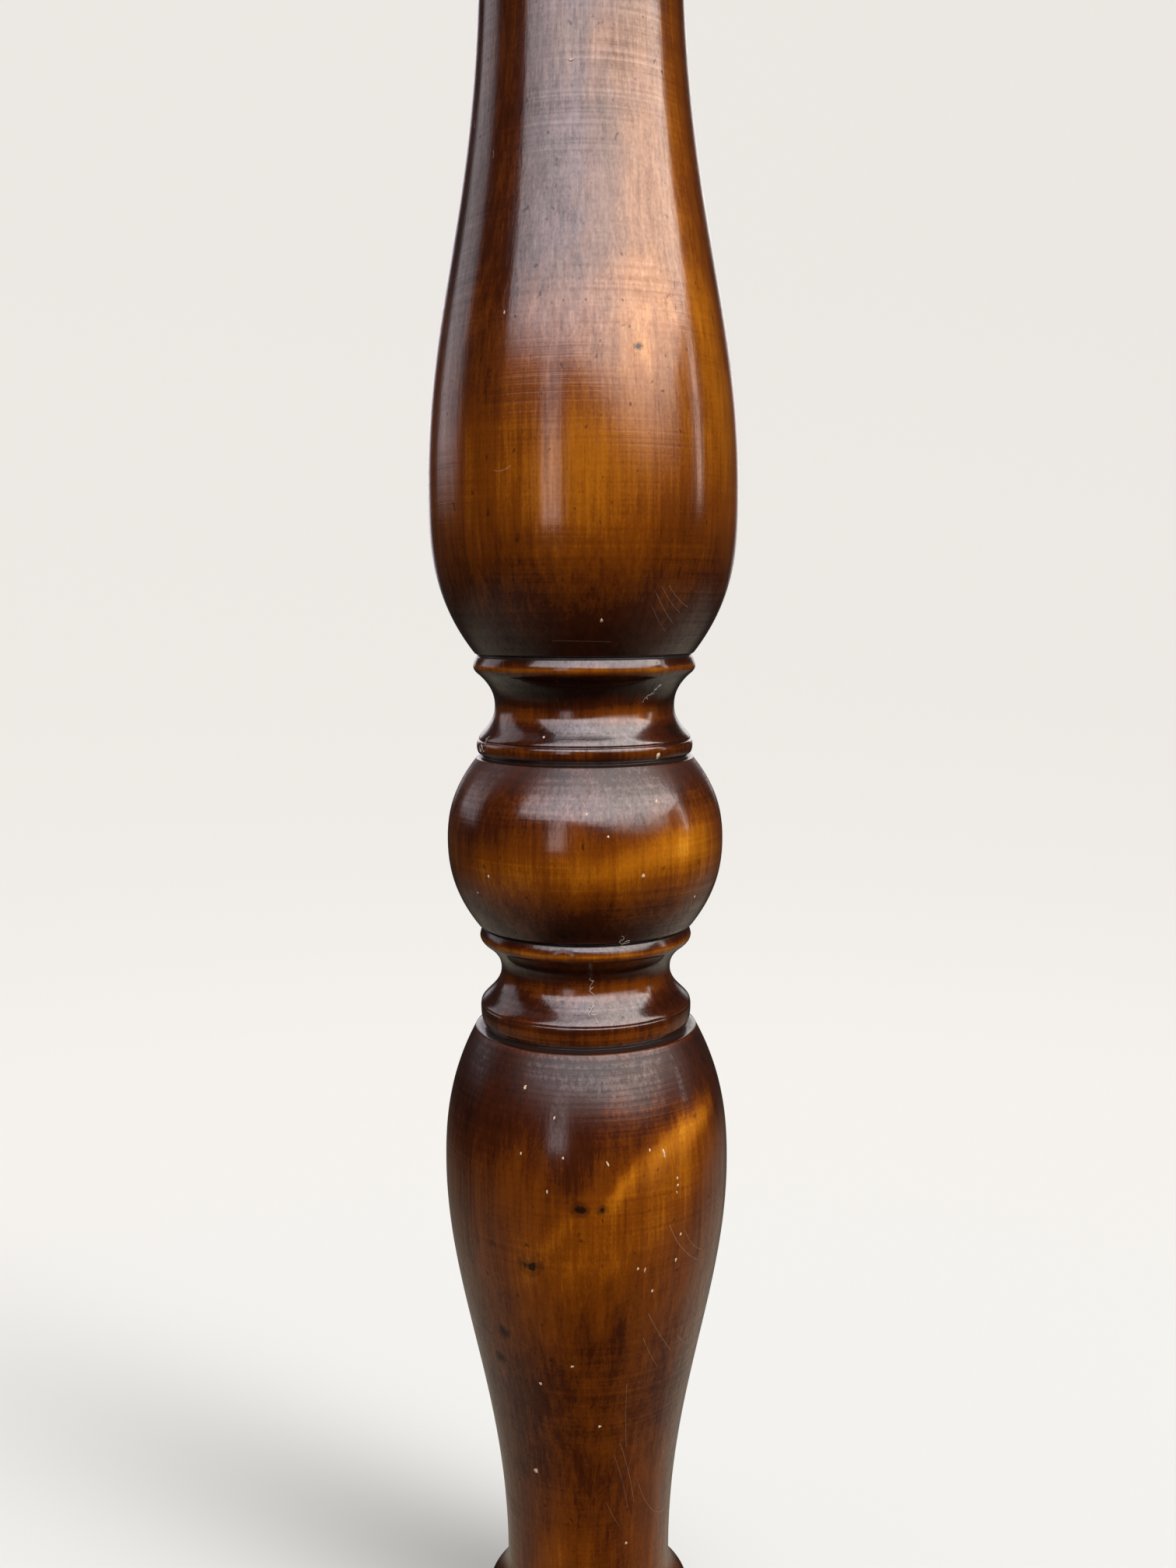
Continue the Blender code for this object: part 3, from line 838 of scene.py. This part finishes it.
# Flecks of pale paint, splashed from some wall that was painted over the years and set hard on
# the varnish: small flat domes, a few of them runny, each a little longer one way than the other.
# Azimuth, height, half-length, half-width, and the lean of its length from upright, in degrees.
FLECKS = (
    (-27.4, 0.5516, 0.0008, 0.0005, 20),
    (31.2, 0.5289, 0.0018, 0.0004, -12),
    (36.9, 0.5190, 0.0006, 0.0004, 0),
    (37.1, 0.5165, 0.0005, 0.0004, 30),
    (36.6, 0.5140, 0.0006, 0.0003, -20),
    (37.4, 0.4886, 0.0008, 0.0004, 10),
    (-23.2, 0.4418, 0.0007, 0.0006, 0),
    (-33.1, 0.4023, 0.0011, 0.0009, 30),
    (6.2, 0.4252, 0.0006, 0.0005, 60),
    (26.0, 0.3730, 0.0006, 0.0005, 0),
    (31.4, 0.6509, 0.0006, 0.0004, 40),
    (0.6, 0.6477, 0.0005, 0.0004, 0),
    (8.9, 0.6403, 0.0004, 0.0004, 0),
    (23.0, 0.6265, 0.0007, 0.0006, 20),
    (-41.8, 0.6248, 0.0006, 0.0005, 0),
    (-50.8, 0.6178, 0.0006, 0.0004, 50),
    (53.4, 0.6156, 0.0006, 0.0004, 0),
    (40.3, 0.6652, 0.0013, 0.0008, 15),
    (-22.6, 0.6722, 0.0004, 0.0004, 0),
    (7.0, 0.7116, 0.0006, 0.0005, 0),
    (-13, 0.543, 0.0006, 0.0003, 20),
    (-26, 0.530, 0.0006, 0.0003, 0),
    (-9, 0.530, 0.0005, 0.0004, 0),
    (8, 0.528, 0.0010, 0.0003, -25),
    (25, 0.531, 0.0006, 0.0003, 0),
    (-15, 0.518, 0.0007, 0.0003, 0),
    (23, 0.488, 0.0010, 0.0003, 10),
    (20, 0.489, 0.0006, 0.0004, 0),
    (27, 0.479, 0.0006, 0.0004, 0),
    (39, 0.498, 0.0006, 0.0004, 20),
    (-7, 0.451, 0.0007, 0.0004, 70),
    (-5, 0.889, 0.0009, 0.0003, 80),
    (-30, 0.810, 0.0006, 0.0003, 0),
    (-150.0, 0.5020, 0.0010, 0.0006, 20),
    (128.0, 0.7300, 0.0008, 0.0005, 0),
    (170.0, 0.6300, 0.0008, 0.0006, 30),
)


def side_radius(height):
    """Radius of the turning at a height of its round stretch."""
    return np.interp(height, turned_height, turned_radius)


def paint_flecks():
    """One mesh of domes, each a grid of turns by rings laid on the wood where its fleck is.

    A dome's rise is 35 % of its half-width times one less the square of the distance out. Its rim
    is waved by sines of the turn, and it is sunk by a tenth of that rise into the varnish.
    """
    azimuth, level, half_length, half_width, lean = np.array(FLECKS).T[:, :, None, None]
    turn = (np.arange(12) / 12 * 2 * np.pi)[None, None, :]
    out = np.array([1.0, 0.85, 0.6, 0.3])[None, :, None]
    rim = 1 + 0.14 * np.sin(3 * turn + level * 9000) + 0.08 * np.sin(5 * turn + level * 5000)
    along = half_length * out * rim * np.cos(turn)
    across = half_width * out * rim * np.sin(turn)
    tilt = np.radians(lean)
    rise = level + along * np.cos(tilt) - across * np.sin(tilt)
    arc = along * np.sin(tilt) + across * np.cos(tilt)
    lift = half_width * (0.35 * (1 - out**2) - 0.035) * np.ones_like(turn)
    angle = np.radians(azimuth) + arc / side_radius(level)
    rings = round_the_axis(side_radius(rise) + lift, angle, rise)
    flecks, steps, turns = rings.shape[:3]
    middle = level[:, 0, 0]
    peak_radius = side_radius(middle) + 0.33 * half_width[:, 0, 0]
    peaks = round_the_axis(peak_radius, np.radians(azimuth[:, 0, 0]), middle)
    points = np.concatenate((rings.reshape(flecks, -1, 3), peaks[:, None, :]), axis=1)
    quads = grid_quads(steps, turns)[:, [0, 3, 2, 1]]
    last = (steps - 1) * turns + np.arange(turns)
    after = (steps - 1) * turns + (np.arange(turns) + 1) % turns
    caps = np.stack((last, np.full(turns, steps * turns), after), axis=-1)
    rims = np.arange(turns)[None, :]
    start = np.arange(flecks)[:, None, None] * (steps * turns + 1)
    faces = [*(quads + start).reshape(-1, 4).tolist(), *(caps + start).reshape(-1, 3).tolist()]
    faces += (rims + start[:, :, 0]).tolist()
    return smooth_object("paint_flecks", points.reshape(-1, 3), faces)


def old_paint():
    """Yellowed off-white paint, chalky, dirtier in patches."""
    material, tree, shader, solid = new_material("old_paint")
    dirt = noise(tree, solid, (1600.0, 1600.0, 1600.0), 2.0)
    clean, dirty = (0.47, 0.37, 0.25, 1.0), (0.26, 0.18, 0.11, 1.0)
    colour = mix_colour(tree, ramp(tree, dirt, 0.35, 0.75), clean, dirty)
    rough = maths(tree, "MULTIPLY_ADD", dirt, 0.3, 0.45)
    give_surface(tree, shader, colour, rough, dirt, 0.6, 0.0001)
    return material


flecks = paint_flecks()
flecks.data.materials.append(old_paint())
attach(flecks, "root")


# Fluff: a few fibres of lint and cobweb caught in the grooves and on the rings.
# Each is a thread thinner than a hair, wandering over the wood and standing a little off it.
# Azimuth and height of its start and end, the size of its curl, and how far it stands off.
FIBRES = (
    (-62.0, 0.6712, -66.0, 0.6655, 0.0012, 0.0010),
    (-63.0, 0.6690, -67.5, 0.6650, 0.0010, 0.0014),
    (46.0, 0.6895, 43.0, 0.6862, 0.0009, 0.0004),
    (44.0, 0.6872, 37.0, 0.6835, 0.0006, 0.0003),
    (17.0, 0.6045, 21.0, 0.5985, 0.0012, 0.0008),
    (3.0, 0.5880, 4.5, 0.5800, 0.0010, 0.0005),
    (2.0, 0.5790, 6.0, 0.5735, 0.0012, 0.0005),
)
LINT_GIRTH = 0.00005


def lint():
    """One mesh of thin tubes: five-sided rings carried along wandering threads.

    A thread runs straight between its ends on the unrolled wood, plus its curl times sines of three
    and seven half waves across and along; it stands off by its distance times half a sine wave.
    """
    first, first_level, second, second_level, curl, stand_off = np.array(FIBRES).T[:, :, None]
    t = np.linspace(0.0, 1.0, 29)[None, :]
    swing = np.sin(np.pi * t) ** 0.5
    arc = curl * swing * (np.sin(7 * np.pi * t + first) + 0.5 * np.sin(12 * t + second))
    rise = curl * swing * (0.7 * np.cos(5.2 * np.pi * t + first) + 0.4 * np.sin(9 * np.pi * t))
    level = first_level + (second_level - first_level) * t + rise
    carried = np.maximum(side_radius(level - 0.0008), side_radius(level + 0.0008))
    radius = carried + 0.0001 + stand_off * np.sin(np.pi * t) ** 2
    angle = np.radians(first + (second - first) * t) + arc / 0.04
    path = round_the_axis(radius, angle, level)
    ahead = np.gradient(path, axis=1)
    ahead /= np.linalg.norm(ahead, axis=-1, keepdims=True)
    out = path * (1.0, 1.0, 0.0)
    out /= np.linalg.norm(out, axis=-1, keepdims=True)
    side = np.cross(ahead, out)
    side /= np.linalg.norm(side, axis=-1, keepdims=True)
    lift = np.cross(side, ahead)
    turn = np.arange(5) / 5 * 2 * np.pi
    girth = LINT_GIRTH * np.sin(np.pi * np.linspace(0.04, 0.96, 29)) ** 0.3
    ring = side[:, :, None, :] * np.cos(turn)[:, None]
    ring = ring + lift[:, :, None, :] * np.sin(turn)[:, None]
    points = path[:, :, None, :] + girth[None, :, None, None] * ring
    threads, steps, turns = points.shape[:3]
    start = np.arange(threads)[:, None, None] * steps * turns
    faces = (grid_quads(steps, turns) + start).reshape(-1, 4).tolist()
    near = np.arange(turns)[::-1]
    far = (steps - 1) * turns + np.arange(turns)
    ends = np.stack((near, far))[None] + start
    faces += ends.reshape(-1, turns).tolist()
    return smooth_object("lint", points.reshape(-1, 3), faces)


def grey_lint():
    """House dust spun into threads: pale grey, dull, darker along parts of each thread."""
    material, tree, shader, solid = new_material("grey_lint")
    shade = noise(tree, solid, (700.0, 700.0, 700.0), 1.0)
    colour = mix_colour(tree, shade, (0.34, 0.30, 0.26, 1.0), (0.62, 0.58, 0.53, 1.0))
    rough = maths(tree, "MULTIPLY_ADD", shade, 0.2, 0.7)
    give_surface(tree, shader, colour, rough, shade, 0.3, 0.00002)
    return material


threads = lint()
threads.data.materials.append(grey_lint())
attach(threads, "root")


# The studio: a pale floor that curves up all round into a bowl of the same card, so that every side
# of the post is seen against it. It only catches light and shadow, and carries a painted shadow of
# the post as well; it gives no light to the post.
BOWL_FLOOR = 1.9
BOWL_BEND = 1.6
BOWL_TOP = 3.2
BOWL_COLUMNS = 96


def studio_bowl():
    """Rows out over the floor, round a quarter circle and up the wall, turned about the post."""
    floor = np.linspace(0.02, BOWL_FLOOR, 12)[:-1]
    turn = np.linspace(0.0, np.pi / 2, 19)
    bend = BOWL_FLOOR + BOWL_BEND * np.sin(turn)
    radius = np.concatenate((floor, bend, [BOWL_FLOOR + BOWL_BEND]))
    height = np.concatenate((0 * floor, BOWL_BEND * (1 - np.cos(turn)), [BOWL_TOP]))
    azimuth = np.arange(BOWL_COLUMNS) / BOWL_COLUMNS * 2 * np.pi
    points = round_the_axis(radius[:, None], azimuth, height[:, None]).reshape(-1, 3)
    quads = grid_quads(len(radius), BOWL_COLUMNS)[:, [0, 3, 2, 1]]
    faces = [*quads.tolist(), list(range(BOWL_COLUMNS))[::-1]]
    bowl = smooth_object("studio_bowl", points, faces)
    bowl.visible_glossy = False
    bowl.visible_diffuse = False
    bowl.visible_shadow = False
    return bowl
def bell_across(tree, apart):
    """e to the minus square of how far apart."""
    squared = maths(tree, "MULTIPLY", apart, apart)
    return maths(tree, "EXPONENT", maths(tree, "MULTIPLY", squared, -1.0))


def pale_card():
    """Card that is lit from within as well, so that it stays pale and even under the sky.

    Near the post it takes more of the sky's light, and a painted soft shadow lies over its colour
    and
    its glow. The shadow runs straight back from the foot, a bell across it, and then turns to the
    left:
    a bell across its new line that widens, and fades, with the distance along it.
    """
    material, tree, shader, solid = new_material("pale_card")
    reach = vector_maths(tree, "LENGTH", solid)
    away = ramp(tree, reach, 0.6, 1.9)
    far = ramp(tree, reach, 1.5, 3.2)
    from_foot = vector_maths(tree, "SUBTRACT", solid, (0.0, 0.43, 0.0))
    along = vector_maths(tree, "DOT_PRODUCT", from_foot, (-0.865, 0.50, 0.0))
    across = vector_maths(tree, "DOT_PRODUCT", from_foot, (0.50, 0.865, 0.0))
    width = maths(tree, "MULTIPLY_ADD", along, 0.10, 0.075)
    apart = maths(tree, "DIVIDE", across, width)
    fade = maths(tree, "EXPONENT", maths(tree, "MULTIPLY", along, -2.6))
    turned = maths(tree, "MULTIPLY", bell_across(tree, apart), fade)
    turned = maths(tree, "MULTIPLY", turned, ramp(tree, along, -0.08, 0.10))
    axes = place(tree, "ShaderNodeSeparateXYZ", {"Vector": solid}).outputs
    back = bell_across(tree, maths(tree, "DIVIDE", axes["X"], 0.085))
    starts, stops = ramp(tree, axes["Y"], -0.10, 0.06), ramp(tree, axes["Y"], 0.30, 0.62)
    joining = maths(tree, "MULTIPLY", back, maths(tree, "SUBTRACT", starts, stops))
    joining = maths(tree, "MULTIPLY", joining, 0.55)
    # Painted shadow: it darkens the card's colour and glow towards dark grey.
    shade = maths(tree, "MULTIPLY", maths(tree, "MAXIMUM", turned, joining), 0.80)
    near_glow = mix_colour(tree, away, (0.462, 0.474, 0.450, 1.0), (0.885, 0.857, 0.820, 1.0))
    glow = mix_colour(tree, far, near_glow, (0.815, 0.783, 0.744, 1.0))
    own = mix_colour(tree, away, (0.195, 0.195, 0.190, 1.0), (0.015, 0.015, 0.014, 1.0))
    dark = (0.05, 0.049, 0.048, 1.0)
    tree.links.new(mix_colour(tree, shade, own, dark), shader.inputs["Base Color"])
    shader.inputs["Roughness"].default_value = 0.9
    shader.inputs["Specular IOR Level"].default_value = 0.0
    tree.links.new(mix_colour(tree, shade, glow, dark), shader.inputs["Emission Color"])
    shader.inputs["Emission Strength"].default_value = 1.0
    return material


bowl = studio_bowl()
bowl.data.materials.append(pale_card())


# The light: daylight from windows above and to the right of the front, a narrow strip beside them
# on either hand, and a ceiling that carries some of it over to the back. It comes from the sky all
# round, whose panes have soft edges, so nothing but the floor stands near the post.
LEFT_DAYLIGHT = (1.02, 0.94, 1.0, 1.0)
RIGHT_DAYLIGHT = (1.12, 1.06, 1.03, 1.0)
FLOOR_LIGHT = (1.30, 1.12, 0.90, 1.0)


def fades(tree, angle, rises, falls):
    """1 between two angles in degrees, eased up over the first pair and down over the second."""
    down = maths(tree, "SUBTRACT", 1.0, ramp(tree, angle, *falls))
    return maths(tree, "MULTIPLY", ramp(tree, angle, *rises), down)


def pane(tree, azimuth, elevation, turn, half_width, soft, rises, falls, radiance):
    """Light of that radiance about an azimuth, as wide as given, from one elevation to another."""
    apart = maths(tree, "WRAP", maths(tree, "SUBTRACT", azimuth, float(turn)), 180.0, -180.0)
    apart = maths(tree, "ABSOLUTE", apart)
    across = ramp(tree, apart, half_width - soft / 2, half_width + soft / 2)
    height = fades(tree, elevation, rises, falls)
    shape = maths(tree, "MULTIPLY", maths(tree, "SUBTRACT", 1.0, across), height)
    return maths(tree, "MULTIPLY", shape, radiance)


def studio_sky():
    """Background whose strength is the sum of its panes, by azimuth and elevation in degrees."""
    world = bpy.data.worlds.new("studio")
    world.use_nodes = True
    tree = world.node_tree
    background = tree.nodes["Background"]
    direction = place(tree, "ShaderNodeTexCoord").outputs["Generated"]
    axes = place(tree, "ShaderNodeSeparateXYZ", {"Vector": direction}).outputs
    turned = maths(tree, "ARCTAN2", axes["X"], maths(tree, "MULTIPLY", axes["Y"], -1.0))
    azimuth = maths(tree, "MULTIPLY", turned, math.degrees(1.0))
    elevation = maths(tree, "MULTIPLY", maths(tree, "ARCSINE", axes["Z"]), math.degrees(1.0))

    over_left, over_right = ramp(tree, azimuth, -82.0, -2.0), ramp(tree, azimuth, 10.0, 60.0)
    overhead = ramp(tree, elevation, 66.0, 90.0)
    brightness = add_up(tree, 2.3, (over_left, 3.4), (over_right, -0.4), (overhead, -1.8))
    to_right = ramp(tree, azimuth, -14.0, 50.0)
    sill = maths(tree, "MULTIPLY_ADD", to_right, -17.0, 21.0)
    head = maths(tree, "MULTIPLY_ADD", to_right, 3.0, 27.0)
    corner = maths(tree, "MULTIPLY_ADD", ramp(tree, elevation, 18.0, 26.0), 22.0, 68.0)
    sides = fades(tree, azimuth, (-64.0, -59.0), (corner, maths(tree, "ADD", corner, 10.0)))
    front = maths(tree, "MULTIPLY", ramp(tree, elevation, sill, head), brightness)
    front = maths(tree, "MULTIPLY", front, sides)

    light = maths(tree, "ADD", front, 0.02)
    for turn, half_width, soft, rises, falls, radiance in (
        (-23, 7, 4, (-7, -1), (20, 26), 1.8),
        (-119, 14, 8, (1, 9), (44, 56), 0.8),
        (92, 3, 3, (0, 7), (20, 26), 2.8),
        (180, 90, 24, (46, 90), (120, 121), 1.8),
        (180, 22, 12, (-5, 5), (44, 56), 1.2),
        (130, 22, 20, (-58, -48), (-22, -10), 0.10),
        (-175, 110, 120, (-78, -52), (-34, -14), 0.16),
    ):
        glow = pane(tree, azimuth, elevation, turn, half_width, soft, rises, falls, radiance)
        light = maths(tree, "ADD", light, glow)
    daylight = mix_colour(tree, ramp(tree, azimuth, -20.0, 50.0), LEFT_DAYLIGHT, RIGHT_DAYLIGHT)
    colour = mix_colour(tree, ramp(tree, elevation, -20.0, 0.0), FLOOR_LIGHT, daylight)
    tree.links.new(colour, background.inputs["Color"])
    tree.links.new(light, background.inputs["Strength"])
    return world


bpy.context.scene.world = studio_sky()

# The camera stands close and a little over half way up the post, tipped down.
lens = bpy.data.cameras.new("camera")
lens.lens = 33.04
lens.sensor_width = 36.0
lens.clip_start = 0.02
camera = bpy.data.objects.new("camera", lens)
bpy.context.scene.collection.objects.link(camera)
camera.location = (0.0, -0.5207, 0.7172)
yaw, pitch, roll = math.radians(-0.127), math.radians(7.15), math.radians(-0.252)


def turned_about(axis, angle):
    """Rotation matrix about the x or z axis."""
    c, s = math.cos(angle), math.sin(angle)
    if axis == "x":
        return np.array([[1, 0, 0], [0, c, -s], [0, s, c]])
    return np.array([[c, -s, 0], [s, c, 0], [0, 0, 1]])


aimed = turned_about("z", yaw) @ turned_about("x", math.pi / 2 - pitch) @ turned_about("z", roll)
camera.rotation_euler = (
    math.atan2(aimed[2, 1], aimed[2, 2]),
    math.asin(-aimed[2, 0]),
    math.atan2(aimed[1, 0], aimed[0, 0]),
)
bpy.context.scene.camera = camera
